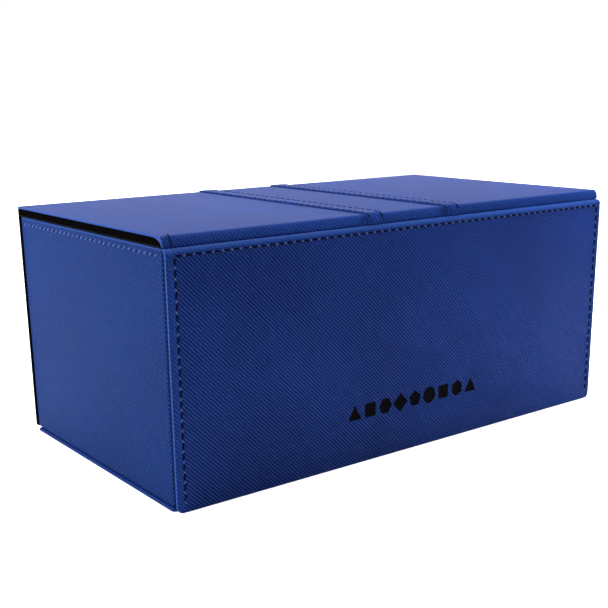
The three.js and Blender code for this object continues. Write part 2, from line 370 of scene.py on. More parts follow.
def lay_grain(obj):
    """Gives a piece the UV map that the leatherette reads, in metres along its surface."""
    mesh = obj.data
    layer = mesh.uv_layers.get("grain") or mesh.uv_layers.new(name="grain")
    for face in mesh.polygons:
        on_end = abs(face.normal.x) > 0.7
        for corner in face.loop_indices:
            point = mesh.vertices[mesh.loops[corner].vertex_index].co
            if on_end:
                layer.data[corner].uv = (point.y, point.z)
            else:
                layer.data[corner].uv = (point.x, unrolled(point, face.normal))
    mesh.uv_layers.active = layer


# %% [markdown]
# A shader node group holds the lattice, so that every leatherette finish uses the same one. It takes
# the UV map and a pitch, and it puts out a height for the bump and a ridge mask for the colour. It
# puts out no shader: the Principled BSDF stays in each material, where an exporter can read it.


# %% Node helpers
def new_group(name, inputs, outputs):
    group = bpy.data.node_groups.new(name, "ShaderNodeTree")
    for label, kind, value in inputs:
        socket = group.interface.new_socket(label, in_out="INPUT", socket_type=kind)
        if value is not None:
            socket.default_value = value
    for label, kind in outputs:
        group.interface.new_socket(label, in_out="OUTPUT", socket_type=kind)
    group.nodes.new("NodeGroupInput").name = "in"
    group.nodes.new("NodeGroupOutput").name = "out"
    return group


def feed(tree, node, inputs):
    """Fills a node's inputs: the output of another node is linked, and a plain value is set."""
    for place, value in inputs.items():
        if isinstance(value, bpy.types.NodeSocket):
            tree.links.new(value, node.inputs[place])
        else:
            node.inputs[place].default_value = value


def math_node(tree, operation, *values, clamp=False):
    node = tree.nodes.new("ShaderNodeMath")
    node.operation = operation
    node.use_clamp = clamp
    feed(tree, node, dict(enumerate(values)))
    return node.outputs[0]


def noise(tree, vector, scale, detail, roughness=0.5):
    node = tree.nodes.new("ShaderNodeTexNoise")
    feed(tree, node, {"Vector": vector, "Scale": scale, "Detail": detail, "Roughness": roughness})
    return node.outputs["Fac"]


def use_group(tree, group, inputs):
    """Places a group in a material and fills its inputs."""
    node = tree.nodes.new("ShaderNodeGroup")
    node.node_tree = group
    feed(tree, node, inputs)
    return node.outputs


# %% Cross grain group
def make_cross_grain():
    group = new_group(
        "cross_grain",
        [("Vector", "NodeSocketVector", None), ("Pitch", "NodeSocketFloat", GRAIN_PITCH),
         ("Cross", "NodeSocketFloat", 0.35)],
        [("Height", "NodeSocketFloat"), ("Ridge", "NodeSocketFloat")],
    )
    source, out = group.nodes["in"].outputs, group.nodes["out"].inputs
    wobble = math_node(group, "MULTIPLY", noise(group, source["Vector"], 90, 1), 0.35 * MM)
    parts = group.nodes.new("ShaderNodeSeparateXYZ")
    group.links.new(source["Vector"], parts.inputs[0])
    turns = math_node(group, "DIVIDE", math.sqrt(2) * math.pi, source["Pitch"])
    lengths = []
    for operation in ("ADD", "SUBTRACT"):
        along = math_node(group, operation, parts.outputs["X"], parts.outputs["Y"])
        along = math_node(group, "ADD", along, wobble)
        wave = math_node(group, "COSINE", math_node(group, "MULTIPLY", along, turns))
        lengths.append(math_node(group, "MULTIPLY_ADD", wave, 0.5, 0.5))
    strong = math_node(group, "POWER", lengths[0], 0.8)
    notch = math_node(group, "MULTIPLY", math_node(group, "SUBTRACT", 1, lengths[1]), source["Cross"])
    ridge = math_node(group, "MULTIPLY", strong, math_node(group, "SUBTRACT", 1, notch))
    grit = math_node(group, "MULTIPLY_ADD", noise(group, source["Vector"], 1800, 2), 0.12, ridge)
    group.links.new(grit, out["Height"])
    group.links.new(ridge, out["Ridge"])
    return group


cross_grain = make_cross_grain()
print("group", cross_grain.name)

# %% [markdown]
# A second group lays down what handling leaves: broad cloudy patches where the sheet was pressed a
# little more or less, and specks of dust. It reads Object coordinates, because it has to run across
# seams as it would on the real case.


# %% Handling group
def make_handling():
    group = new_group(
        "handling",
        [("Vector", "NodeSocketVector", None), ("Dust", "NodeSocketFloat", 0.1)],
        [("Patch", "NodeSocketFloat"), ("Dust", "NodeSocketFloat")],
    )
    source, out = group.nodes["in"].outputs, group.nodes["out"].inputs
    patch = noise(group, source["Vector"], 14, 3, 0.6)
    specks = noise(group, source["Vector"], 900, 2, 0.7)
    sharp = math_node(group, "MULTIPLY_ADD", specks, 9, -6.2, clamp=True)
    group.links.new(patch, out["Patch"])
    group.links.new(math_node(group, "MULTIPLY", sharp, source["Dust"]), out["Dust"])
    return group


handling = make_handling()
print("group", handling.name)


# %% [markdown]
# ## The leatherette
# Real polyurethane leatherette is a coloured film over cloth. Its valleys read darker, because they
# shade themselves and hold no gloss, and its ridge tops are polished by handling. So the ridge mask
# drives colour and roughness together: the darker valley colour is painted shade, and the
# smoother ridge tops are real polish. The height drives the bump. The same recipe makes the skin
# of the wrap, the paler borders and the edges with their painted highlight, which only differ in
# their numbers.


# %% Material helpers
def new_material(name):
    material = bpy.data.materials.new(name)
    material.use_nodes = True
    tree = material.node_tree
    return material, tree, tree.nodes["Principled BSDF"]


# The Mix node has a pair of sockets named A and B for each kind of data. These are the colour ones.
COLOUR_A, COLOUR_B, MIXED_COLOUR = 6, 7, 2


def mixed(tree, factor, low, high):
    """Blends two colours. Either may be a plain colour or the output of another node."""
    node = tree.nodes.new("ShaderNodeMix")
    node.data_type = "RGBA"
    low, high = ((*c, 1) if isinstance(c, tuple) else c for c in (low, high))
    feed(tree, node, {"Factor": factor, COLOUR_A: low, COLOUR_B: high})
    return node.outputs[MIXED_COLOUR]


def add_bump(tree, shader, height, strength, distance):
    bump = tree.nodes.new("ShaderNodeBump")
    feed(tree, bump, {"Height": height, "Strength": strength, "Distance": distance})
    feed(tree, shader, {"Normal": bump.outputs["Normal"]})


def coordinates(tree, kind="Object"):
    if kind == "Object":
        return tree.nodes.new("ShaderNodeTexCoord").outputs["Object"]
    uv = tree.nodes.new("ShaderNodeUVMap")
    uv.uv_map = kind
    return uv.outputs["UV"]


# %% Leatherette
DUST = (0.5, 0.55, 0.7)


def make_leatherette(name, valley, ridge, cross, bump, dust=0.06, matt=0.62):
    material, tree, shader = new_material(name)
    sheet = coordinates(tree, "grain")
    grain = use_group(tree, cross_grain, {"Vector": sheet, "Pitch": GRAIN_PITCH, "Cross": cross})
    worn = use_group(tree, handling, {"Vector": coordinates(tree), "Dust": dust})
    tone = math_node(tree, "MULTIPLY_ADD", worn["Patch"], 0.5, -0.25)
    colour = mixed(tree, math_node(tree, "ADD", grain["Ridge"], tone, clamp=True), valley, ridge)
    gloss = math_node(tree, "MULTIPLY_ADD", grain["Ridge"], -0.2, matt)
    feed(tree, shader, {
        "Base Color": mixed(tree, worn["Dust"], colour, DUST),
        "Roughness": math_node(tree, "MULTIPLY_ADD", worn["Patch"], 0.1, gloss),
        "Specular IOR Level": 0.08,
    })
    add_bump(tree, shader, grain["Height"], 1.0, bump)
    return material


front_leather = make_leatherette(
    "cross_grain_leatherette", (0.002, 0.009, 0.065), (0.019, 0.067, 0.37), cross=0.3, bump=0.26 * MM
)
end_leather = make_leatherette(
    "end_panel_leatherette", (0.002, 0.018, 0.12), (0.009, 0.068, 0.33), cross=1.0, bump=0.34 * MM
)
print("leatherette", front_leather.name, end_leather.name)

# %% [markdown]
# ## The other finishes
# Thread is twisted yarn, so a slanted wave crosses it. Felt and foam are matt and near black: felt is
# a haze of fibres, foam is a sponge of tiny open cells. The core of the wrap is black board, and the
# hidden boards are grey pulp. The magnets are nickel with faint turning marks.


# %% Thread
def make_thread(name, dark, light):
    material, tree, shader = new_material(name)
    twist = tree.nodes.new("ShaderNodeTexWave")
    twist.bands_direction = "DIAGONAL"
    feed(tree, twist, {"Vector": coordinates(tree), "Scale": 900})
    ply = twist.outputs["Fac"]
    colour = mixed(tree, ply, dark, light)
    feed(tree, shader, {"Base Color": colour, "Roughness": 0.6, "Specular IOR Level": 0.05})
    add_bump(tree, shader, ply, 0.7, 0.08 * MM)
    return material


navy_thread = make_thread("navy_thread", (0.0006, 0.001, 0.008), (0.002, 0.004, 0.025))
seam_thread = make_thread("seam_thread", (0.002, 0.005, 0.03), (0.005, 0.012, 0.07))
# The swells between the flap's stitches are leather. This pale colour on them is a painted highlight.
swell_highlight = make_thread("swell_highlight", (0.08, 0.1, 0.3), (0.2, 0.23, 0.48))
# The hem thread is blue, and its light colour is partly a painted highlight.
highlit_blue_thread = make_thread("highlit_blue_thread", (0.06, 0.1, 0.34), (0.16, 0.24, 0.6))


# %% Felt, foam and board
def make_speckled(name, dark, light, scale, roughness, bump, detail=4, sheen=0.0):
    """A matt finish whose colour and bump both come from one fine noise and one broad one."""
    material, tree, shader = new_material(name)
    place = coordinates(tree)
    fine = noise(tree, place, scale, detail, 0.65)
    broad = noise(tree, place, scale / 40, 2)
    tone = math_node(tree, "MULTIPLY_ADD", fine, 1.6, -0.55)
    tone = math_node(tree, "MULTIPLY_ADD", broad, 0.5, tone, clamp=True)
    feed(tree, shader, {
        "Base Color": mixed(tree, tone, dark, light),
        "Roughness": math_node(tree, "MULTIPLY_ADD", broad, 0.1, roughness),
        "Sheen Weight": sheen,
        "Specular IOR Level": 0.006,
    })
    add_bump(tree, shader, fine, 0.8, bump)
    return material


def make_foam(name):
    material, tree, shader = new_material(name)
    cells = tree.nodes.new("ShaderNodeTexVoronoi")
    feed(tree, cells, {"Vector": coordinates(tree), "Scale": 1100})
    broad = noise(tree, coordinates(tree), 25, 3)
    wall = math_node(tree, "MULTIPLY_ADD", cells.outputs["Distance"], 1.3, -0.1, clamp=True)
    hollow = math_node(tree, "SUBTRACT", 0.85, wall)
    tone = math_node(tree, "MULTIPLY_ADD", broad, 0.3, hollow, clamp=True)
    feed(tree, shader, {
        "Base Color": mixed(tree, tone, (0.006, 0.006, 0.007), (0.045, 0.045, 0.05)),
        "Roughness": math_node(tree, "MULTIPLY_ADD", wall, -0.1, 0.98),
        "Specular IOR Level": 0.15,
    })
    add_bump(tree, shader, cells.outputs["Distance"], 0.9, 0.35 * MM)
    return material


black_core = make_speckled(
    "black_core", (0.0005, 0.0005, 0.001), (0.0025, 0.002, 0.0022), 1400, 0.85, 0.1 * MM
)
black_felt = make_speckled(
    "black_felt", (0.001, 0.001, 0.002), (0.008, 0.008, 0.01), 2600, 0.9, 0.15 * MM, 6, 0.03
)
grey_board = make_speckled(
    "grey_board", (0.2, 0.19, 0.17), (0.34, 0.32, 0.29), 900, 0.85, 0.08 * MM
)
charcoal_foam = make_foam("charcoal_foam")
print("finishes", black_core.name, black_felt.name, grey_board.name, charcoal_foam.name)


# %% Nickel, foil and floor
def make_nickel():
    material, tree, shader = new_material("nickel")
    rings = tree.nodes.new("ShaderNodeTexWave")
    rings.wave_type = "RINGS"
    rings.rings_direction = "Y"
    feed(tree, rings, {"Vector": coordinates(tree), "Scale": 700})
    ring = rings.outputs["Fac"]
    feed(tree, shader, {
        "Base Color": mixed(tree, ring, (0.5, 0.49, 0.47), (0.72, 0.71, 0.69)),
        "Roughness": math_node(tree, "MULTIPLY_ADD", ring, 0.1, 0.25),
        "Metallic": 1,
    })
    return material


nickel = make_nickel()
black_foil = make_speckled(
    "black_foil", (0.002, 0.002, 0.003), (0.009, 0.009, 0.012), 3000, 0.4, 0.05 * MM
)
pale_floor = make_speckled(
    "pale_floor", (0.84, 0.84, 0.84), (0.87, 0.87, 0.87), 60, 0.8, 0.01 * MM
)
floor.data.materials.append(pale_floor)


# %% [markdown]
# The floor runs on into the white sweep. Far from the lights it would turn grey, so to the eye alone
# it glows a little, which hides the join and leaves the light on the case as it is.


# %% Floor glow
def glow_for_the_eye(material, strength):
    tree = material.node_tree
    eye = tree.nodes.new("ShaderNodeLightPath").outputs["Is Camera Ray"]
    feed(tree, tree.nodes["Principled BSDF"], {
        "Emission Color": (1, 1, 1, 1),
        "Emission Strength": math_node(tree, "MULTIPLY", eye, strength),
    })


glow_for_the_eye(pale_floor, 0.93)

# %% [markdown]
# Each CAD node that stays in view takes the finish of its slot in the record. Nodes that a better
# piece replaces below are hidden by that piece.

# %% Finishes on the CAD nodes
FINISHES = {
    "leatherette": front_leather,
    "black_board": black_core,
    "grey_board": grey_board,
    "black_felt": black_felt,
    "foam": charcoal_foam,
    "nickel": nickel,
}
for part in frame["record"]["subparts"]:
    node = frame["nodes"][part["node"]]
    node.data.materials.clear()
    node.data.materials.append(FINISHES[part["material_slot"]])
print("CAD nodes finished", len(frame["nodes"]))


# %% [markdown]
# Every new piece ends the same way: it gets its finish, unless its parts brought their own, and its
# grain map, it rides on a body of the frame, and the CAD nodes that it replaces are hidden.


# %% Settling a piece
def settle(obj, finish, slot, body=None, replaces=()):
    if finish:
        obj.data.materials.append(finish)
    if slot == "leatherette":
        lay_grain(obj)
    if replaces:
        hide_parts(*replaces)
    if body:
        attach(obj, body)
    print(obj.name, len(obj.data.polygons), "faces")
    return obj


# %% [markdown]
# ## The skin of the box
# One strip of leatherette wraps the left end, the front and the right end of the box, and is hemmed
# over their top edges. It starts as a block. Its top, bottom and rear faces go, its two upright
# corners are rounded, and the open top edge is extruded inwards over the walls and down inside them.
# Solidify then gives the strip its thickness. Extruding the rim keeps it one piece with the wall, as
# the real hem is.

# %% Box skin
SKIN = 0.85 * MM
CORNER_RADIUS = 1.6 * MM
HEM_INSIDE = 15 * MM
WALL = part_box("front_wall_cover")[1].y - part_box("front_wall_cover")[0].y


def make_box_skin():
    skin = start_block("box_skin", tray_low, tray_high)
    open_edit(skin)
    pick(skin, "FACE", lambda c, n: n.z > 0.9 or n.z < -0.9 or n.y > 0.9)
    bpy.ops.mesh.delete(type="FACE")
    pick(skin, "EDGE", lambda c, e: near(c.y, tray_low.y) and near(abs(c.x), tray_high.x))
    bpy.ops.mesh.bevel(offset=CORNER_RADIUS, segments=6)
    pick(skin, "EDGE", lambda c, e: near(c.z, tray_high.z))
    bpy.ops.mesh.extrude_edges_move()
    depth = tray_high.y - tray_low.y
    inwards = ((tray_high.x - WALL) / tray_high.x, (depth - WALL) / depth, 1)
    bpy.ops.transform.resize(value=inwards, center_override=(0, tray_high.y, tray_high.z))
    bpy.ops.mesh.extrude_edges_move(TRANSFORM_OT_translate={"value": (0, 0, -HEM_INSIDE)})
    pick(skin, "EDGE", lambda c, e: near(c.z, tray_high.z) and e.calc_face_angle(0) > 1)
    bpy.ops.mesh.bevel(offset=0.8 * MM, segments=4)
    close_edit()
    face_towards(skin, Vector((0, -1, 0)))
    thicken(skin, SKIN)
    round_edges(skin, 0.25 * MM, 2, 60)
    return skin


box_skin = settle(
    make_box_skin(), end_leather, "leatherette", "tray",
    ("left_end_cover", "right_end_cover", "front_wall_cover"),
)

# %% [markdown]
# ## The bottom panel and the back
# The bottom panel of the wrap shows only its edge, a thin pale line under the ends. The back panel is
# a black board with a leatherette skin that turns the top rear corner and joins the lid. That turn is
# the hinge, and the skin is one long sheet shaped round it: it starts as a plane on the lid's rear
# edge, goes round the corner in short steps and then down to the floor.


# %% Bottom panel
def make_bottom_panel():
    low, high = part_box("base_cover")
    panel = start_block("bottom_panel", low, high)
    open_edit(panel)
    pick(panel, "EDGE", lambda c, e: near(abs(c.x), high.x) and not near(abs(c.y), 0, 60 * MM))
    bpy.ops.mesh.bevel(offset=2 * MM, segments=5)
    close_edit()
    round_edges(panel, 0.45 * MM, 3)
    return panel


settle(make_bottom_panel(), front_leather, "leatherette", "tray", ("base_cover",))


# %% Back core
def make_back_core():
    low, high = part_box("back_board")
    core = start_block("back_core", low, high)
    round_edges(core, 1.1 * MM, 4)
    return core


settle(make_back_core(), black_core, "black_board", "tray", ("back_board",))

# %% Back skin
BACK_SKIN = back_high.y - back_low.y
CORNER_REACH = back_high.y - LID_REAR
BEND_FOOT = LID_TOP - CORNER_REACH


def make_back_skin():
    x = back_high.x
    skin = start_sheet("back_skin", (-x, LID_REAR - 0.3 * MM), (x, LID_REAR), LID_TOP)
    open_edit(skin)
    pick(skin, "EDGE", lambda c, e: near(c.y, LID_REAR))
    path = quarter((LID_REAR, BEND_FOOT), CORNER_REACH, CORNER_REACH, 0, math.pi / 2, 8)
    rows = 8
    row = (BEND_FOOT - back_high.z + 2 * MM) / rows
    path += [(back_high.y, BEND_FOOT - row * n) for n in range(1, rows + 1)]
    path.append((back_high.y, back_low.z))
    extrude_path(path)
    close_edit()
    face_towards(skin, Y)
    thicken(skin, BACK_SKIN)
    round_edges(skin, 0.2 * MM, 2, 60)
    return skin


back_skin = settle(
    make_back_skin(), front_leather, "leatherette", None, ("back_cover", "hinge_spine")
)
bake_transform(back_skin)


# %% Black lining and edges of the back skin
def paint_faces(obj, finish, test):
    """Gives the faces that pass the test another finish of the piece."""
    if finish.name not in obj.data.materials:
        obj.data.materials.append(finish)
    number = list(obj.data.materials).index(finish)
    open_edit(obj)
    count = pick(obj, "FACE", test)
    obj.active_material_index = number
    bpy.ops.object.material_slot_assign()
    close_edit()
    return count


def in_the_bend(c):
    return Vector((0, c.y - LID_REAR, c.z - BEND_FOOT))


lined = paint_faces(
    back_skin, black_core,
    lambda c, n: (abs(n.x) > 0.5 and c.z < back_high.z + 2.5 * MM) or n.y < -0.6 or n.z < -0.6
    or (c.z > back_high.z and in_the_bend(c).dot(n) < 0),
)
print("black faces of the back skin", lined)

# %% [markdown]
# ## The lid
# Three leatherette panels meet in two seams, and the whole skin rolls down over the lid's front edge.
# The roll is a quarter of an ellipse outside, and a softer one inside, where the leather thickens to
# a bead over the end of the board. So a panel is drawn as a closed path: its front edge is extruded
# down the roll, back up inside and home to the rear, and its two ends are then filled.


# %% Lid panels
BEAD_REACH = 7.5 * MM
LID_SKIN = 1 * MM


def roll_path(growth=0, last_angle=math.pi / 2, steps=9):
    centre = (FLAT_FRONT, lid_low.z)
    return quarter(centre, -ROLL_DEPTH - growth, ROLL_RISE + growth, 0, last_angle, steps)


def make_lid_panel(name, left, right):
    panel = start_sheet(name, (left, FLAT_FRONT), (right, LID_REAR), LID_TOP)
    inner_front = lid_low.y + LID_SKIN
    bead = (inner_front + BEAD_REACH, lid_low.z)
    inside = quarter(bead, BEAD_REACH, ROLL_RISE - LID_SKIN, -math.pi / 2, 0, 10)
    open_edit(panel)
    pick(panel, "EDGE", lambda c, e: near(c.y, FLAT_FRONT))
    extrude_path(roll_path() + inside + [(LID_REAR, LID_TOP - LID_SKIN), (LID_REAR, LID_TOP)])
    for side in (left, right):
        pick(panel, "EDGE", lambda c, e: near(c.x, side))
        bpy.ops.mesh.edge_face_add()
    merge_corners()
    close_edit()
    round_edges(panel, 0.38 * MM, 4, 60)
    return panel


lid_panels = []
for side in ("left", "centre", "right"):
    low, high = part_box("lid_skin_" + side)
    panel = make_lid_panel("lid_panel_" + side, low.x, high.x)
    settle(panel, front_leather, "leatherette", "lid", ("lid_skin_" + side,))
    lid_panels.append(panel)

# %% [markdown]
# ## The felled seams
# Where two panels meet, their edges are folded over each other and sewn down twice, which leaves a
# flat raised strip. The strip starts as a plane, goes over the roll like the panels, and is cut
# lengthwise into narrow bands. The bands under the two thread rows are pressed in, and a crease runs
# along the inner side where the folded edge ends. Shrink/fatten presses along the normals, so the
# same step works on the flat top and on the roll.

# %% Seam strips
SEAM_TOP = seam_high.z
SEAM_WIDTH = seam_high.x - seam_low.x
SEAM_MIDDLE = abs(seam_high.x + seam_low.x) / 2
SEAM_GROWTH = SEAM_TOP - LID_TOP
ROW_OFFSET = 3.9 * MM
seam_last_angle = math.acos((seam_low.z - lid_low.z) / (ROLL_RISE + SEAM_GROWTH))


def press_line(obj, test, depth):
    """Presses the corners that pass the test into the surface, along their normals."""
    open_edit(obj)
    pick(obj, "VERT", test)
    bpy.ops.transform.shrink_fatten(value=-depth)
    close_edit()


def make_seam(name, middle, inner_side):
    half = SEAM_WIDTH / 2
    strip = start_sheet(name, (middle - half, FLAT_FRONT), (middle + half, LID_REAR), SEAM_TOP)
    open_edit(strip)
    pick(strip, "EDGE", lambda c, e: near(c.y, FLAT_FRONT))
    tail = [
        (lid_low.y - 0.22 * MM, lid_low.z + 1.0 * MM),
        (lid_low.y - 0.02 * MM, lid_low.z + 0.1 * MM),
    ]
    extrude_path(roll_path(SEAM_GROWTH, seam_last_angle, 7) + tail)
    close_edit()
    crease = middle + inner_side * 2.5 * MM
    for place in (-ROW_OFFSET, ROW_OFFSET):
        for spread in (-0.6 * MM, 0, 0.6 * MM):
            slice_at(strip, [(middle + place + spread, 0, 0)], X)
    slice_at(strip, [(crease + shift * MM, 0, 0) for shift in (-0.4, 0, 0.4)], X)
    face_towards(strip, Z)
    press_line(strip, lambda p: near(abs(p.x - middle), ROW_OFFSET), 0.2 * MM)
    press_line(strip, lambda p: near(p.x, crease), 0.3 * MM)
    press_line(strip, lambda p: near(abs(p.x - middle), half), 0.5 * MM)
    thicken(strip, 0.5 * MM)
    round_edges(strip, 0.1 * MM, 2, 60)
    return strip


seams = []
for side, sign in (("left", -1), ("right", 1)):
    strip = make_seam("seam_strip_" + side, sign * SEAM_MIDDLE, -sign)
    settle(strip, front_leather, "leatherette", "lid", ("lid_seam_" + side,))
    seams.append(strip)

# %% [markdown]
# ## The flap
# The flap's facing is one sheet of leatherette. Its top folds back round a ridge, its bottom corners
# are rounded, and a line of topstitching presses a shallow channel along three edges. It starts as a
# flat plane, turned upright. The ridge is extruded from its top edge round a quarter circle, and the
# channels are sliced in and pressed.

# %% Flap facing
FLAP_THICKNESS = 1.3 * MM
RIDGE_RADIUS = 2.2 * MM
FLAP_CORNER = 3 * MM
STITCH_TOP = flap_high.z - 3.0 * MM
STITCH_LEFT = flap_low.x + 4.0 * MM
STITCH_RIGHT = flap_high.x - 3.1 * MM
STITCH_BOTTOM = flap_low.z + 4.5 * MM
CHANNEL_DEPTH = 0.22 * MM
CHANNEL_REACH = 0.8 * MM


def make_flap_facing():
    width, rise = flap_high.x - flap_low.x, flap_high.z - RIDGE_RADIUS - flap_low.z
    facing = start_sheet("flap_facing_skin", (-width / 2, 0), (width / 2, rise), 0)
    open_edit(facing)
    bpy.ops.mesh.select_all(action="SELECT")
    bpy.ops.transform.rotate(value=-math.pi / 2, orient_axis="X", center_override=(0, 0, 0))
    close_edit()
    bottom = min(v.co.z for v in facing.data.vertices)
    open_edit(facing)
    bpy.ops.mesh.select_all(action="SELECT")
    bpy.ops.transform.translate(value=(0, flap_low.y, flap_low.z - bottom))
    pick(facing, "EDGE", lambda c, e: near(c.z, flap_high.z - RIDGE_RADIUS))
    centre = (flap_low.y + RIDGE_RADIUS, flap_high.z - RIDGE_RADIUS)
    extrude_path(quarter(centre, RIDGE_RADIUS, RIDGE_RADIUS, -math.pi / 2, 0, 8))
    close_edit()
    for spread in (-CHANNEL_REACH, 0, CHANNEL_REACH):
        slice_at(facing, [(STITCH_LEFT + spread, 0, 0), (STITCH_RIGHT + spread, 0, 0)], X)
        slice_at(facing, [(0, 0, STITCH_TOP + spread)], Z)
    face_towards(facing, -Y)
    press_line(facing, lambda p: near(p.z, STITCH_TOP), CHANNEL_DEPTH)
    upright = (STITCH_LEFT, STITCH_RIGHT)
    press_line(facing, lambda p: any(near(p.x, line) for line in upright), CHANNEL_DEPTH)
    thicken(facing, FLAP_THICKNESS)
    open_edit(facing)
    pick(facing, "EDGE", lambda c, e: near(c.z, flap_low.z) and near(abs(c.x), flap_high.x))
    bpy.ops.mesh.bevel(offset=FLAP_CORNER, segments=6)
    close_edit()
    round_edges(facing, 0.3 * MM, 3, 60)
    return facing


flap_facing = make_flap_facing()

# %% [markdown]
# ## The row of marks
# The flap carries a row of small dark marks, pressed in with black foil. Here they are plain shapes
# such as dice show: a triangle, a square, a diamond and so on. Each one is a thin prism, made once
# as a cutter for the Boolean modifier, which sinks its pocket into the flap, and once as the foil on
# the pocket's floor, with an inset rim.

# %% Marks
MARK_SIDES = ((3, 90), (4, 45), (6, 0), (4, 0), (5, 90), (32, 0), (4, 45), (6, 30), (3, 90))
MARK_RADIUS = 4.8 * MM
MARK_STEP = 9.4 * MM
MARK_HEIGHT = 25 * MM
POCKET = 0.35 * MM


def make_prism(name, sides, turn, radius, place, depth):
    deselect_all()
    bpy.ops.mesh.primitive_cylinder_add(vertices=sides, radius=radius, depth=depth)
    prism = bpy.context.object
    prism.name = prism.data.name = name
    first = Matrix.Rotation(math.radians(turn) - math.pi / 2, 4, "Z")
    prism.data.transform(Matrix.Translation(place) @ Matrix.Rotation(math.pi / 2, 4, "X") @ first)
    return prism


def join(objects, name):
    deselect_all()
    for obj in objects:
        obj.select_set(True)
    bpy.context.view_layer.objects.active = objects[0]
    bpy.ops.object.join()
    objects[0].name = objects[0].data.name = name
    return objects[0]


cutters, foils = [], []
for number, (sides, turn) in enumerate(MARK_SIDES):
    x = (number - (len(MARK_SIDES) - 1) / 2) * MARK_STEP
    radius = MARK_RADIUS * (0.86 if sides > 4 else 1.0)
    lift = -0.9 * MM if sides == 3 else 0
    surface = Vector((x, flap_low.y, MARK_HEIGHT + lift))
    cutters.append(make_prism("cutter", sides, turn, radius, surface, 2 * POCKET))
    floor_place = surface + Vector((0, POCKET + 0.1 * MM, 0))
    foils.append(make_prism("foil", sides, turn, radius - 0.02 * MM, floor_place, 0.5 * MM))
cutter = join(cutters, "mark_cutter")
apply_modifier(flap_facing, "BOOLEAN", operation="DIFFERENCE", object=cutter, solver="EXACT")
bpy.data.objects.remove(cutter)

foil_marks = join(foils, "foil_marks")
open_edit(foil_marks)
marks = pick(foil_marks, "FACE", lambda c, n: n.y < -0.9)
bpy.ops.mesh.inset(thickness=0.85 * MM, use_individual=True)
bpy.ops.transform.translate(value=(0, 0.12 * MM, 0))
close_edit()
settle(foil_marks, black_foil, "leatherette", "flap")
settle(flap_facing, front_leather, "leatherette", "flap", ("flap_facing",))
print("marks", marks)

# %% [markdown]
# ## The fold behind the ridge
# Behind the ridge the leather folds, and that fold is the flap's hinge. It is a narrow web between
# the lid's rolled edge and the top of the flap, a strip sliced into rows.


# %% Hinge web
def make_hinge_web():
    low = Vector((flap_low.x + 1 * MM, flap_low.y + RIDGE_RADIUS + 0.05 * MM, flap_high.z - 1.05 * MM))
    high = Vector((flap_high.x - 1 * MM, lid_low.y + 0.95 * MM, lid_low.z + 0.1 * MM))
    web = start_block("hinge_web", low, high)
    rows = 6
    step = (high.z - low.z) / rows
    slice_at(web, [(0, 0, low.z + step * row) for row in range(1, rows)], Z)
    round_edges(web, 0.15 * MM, 2, 60)
    settle(web, front_leather, "leatherette")
    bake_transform(web)


make_hinge_web()

# %% [markdown]
# ## The stitching
# A stitch is a short length of thread whose two ends dive into the leather, and between two stitches
# the leather swells up a little. One stitch is made with care and few faces, because there are
# hundreds. Each copy gets its own mesh, is put in its place along the row, and a row becomes one
# object. Real rows keep an even pitch, so the spots are counted out along each line.


# %% One stitch
def make_stitch(name, length, width, thread, between, mound, slant=0):
    deselect_all()
    bpy.ops.mesh.primitive_cylinder_add(vertices=6, radius=width / 2, depth=length)
    yarn = bpy.context.object
    yarn.data.transform(Matrix.Rotation(math.pi / 2, 4, "Y"))
    slice_at(yarn, [(-length * 0.3, 0, 0), (length * 0.3, 0, 0)], X)
    dive = (0, 0, -0.28 * MM)
    open_edit(yarn)
    pick(yarn, "VERT", lambda p: abs(p.x) > length * 0.4)
    bpy.ops.transform.translate(value=dive)
    bpy.ops.transform.resize(value=(1, 0.6, 0.6), center_override=dive)
    close_edit()
    yarn.data.transform(Matrix.Rotation(math.radians(slant), 4, "Z"))
    yarn.data.materials.append(thread)
    deselect_all()
    bpy.ops.mesh.primitive_uv_sphere_add(segments=8, ring_count=5, radius=1)
    swell = bpy.context.object
    place = Matrix.Translation((STITCH_PITCH / 2, 0, -0.1 * MM))
    swell.data.transform(place @ Matrix.Diagonal((*mound, 1)))
    swell.data.materials.append(between)
    stitch = join([yarn, swell], name)
    select_only(stitch)
    bpy.ops.object.shade_smooth()
    return stitch


def placement(point, along, out):
    """Puts a stitch at a point, with its X along the row and its Z out of the leather."""
    turned = Matrix((along, out.cross(along), out)).transposed().to_4x4()
    return Matrix.Translation(point) @ turned


def along_row(start, end, out):
    run = end - start
    count = max(1, round(run.length / STITCH_PITCH))
    spots = [start + run * (n + 0.5) / count for n in range(count)]
    return [placement(spot, run.normalized(), out) for spot in spots]


def sew(name, stitch, places):
    copies = []
    for place in places:
        one = stitch.copy()
        one.data = stitch.data.copy()
        one.data.transform(place)
        scene.collection.objects.link(one)
        copies.append(one)
    return join(copies, name)


# On the flap the swell between two stitches is pale: a painted highlight on the leather.
topstitch = make_stitch(
    "topstitch", 2.9 * MM, 0.9 * MM, navy_thread, swell_highlight, (0.5 * MM, 0.4 * MM, 0.22 * MM), -8
)
seamstitch = make_stitch(
    "seamstitch", 2.8 * MM, 0.62 * MM, seam_thread, front_leather, (0.5 * MM, 0.5 * MM, 0.2 * MM)
)
# On the hem the swell between two stitches takes the dark navy thread colour: painted shade in the
# needle holes.
hemstitch = make_stitch(
    "hemstitch", 2.5 * MM, 0.62 * MM, highlit_blue_thread, navy_thread, (0.62 * MM, 0.5 * MM, 0.16 * MM), 32
)
print("stitch faces", len(topstitch.data.polygons))

# %% Rows on the flap
flap_front = flap_low.y + 0.08 * MM
top_left = Vector((STITCH_LEFT, flap_front, STITCH_TOP))
top_right = Vector((STITCH_RIGHT, flap_front, STITCH_TOP))
foot_left = Vector((STITCH_LEFT, flap_front, STITCH_BOTTOM))
foot_right = Vector((STITCH_RIGHT, flap_front, STITCH_BOTTOM))
flap_places = []
for start, end in ((top_left, top_right), (top_left, foot_left), (top_right, foot_right)):
    flap_places += along_row(start, end, -Y)
settle(sew("flap_stitching", topstitch, flap_places), None, "leatherette", "flap")
print("stitches on the flap", len(flap_places))

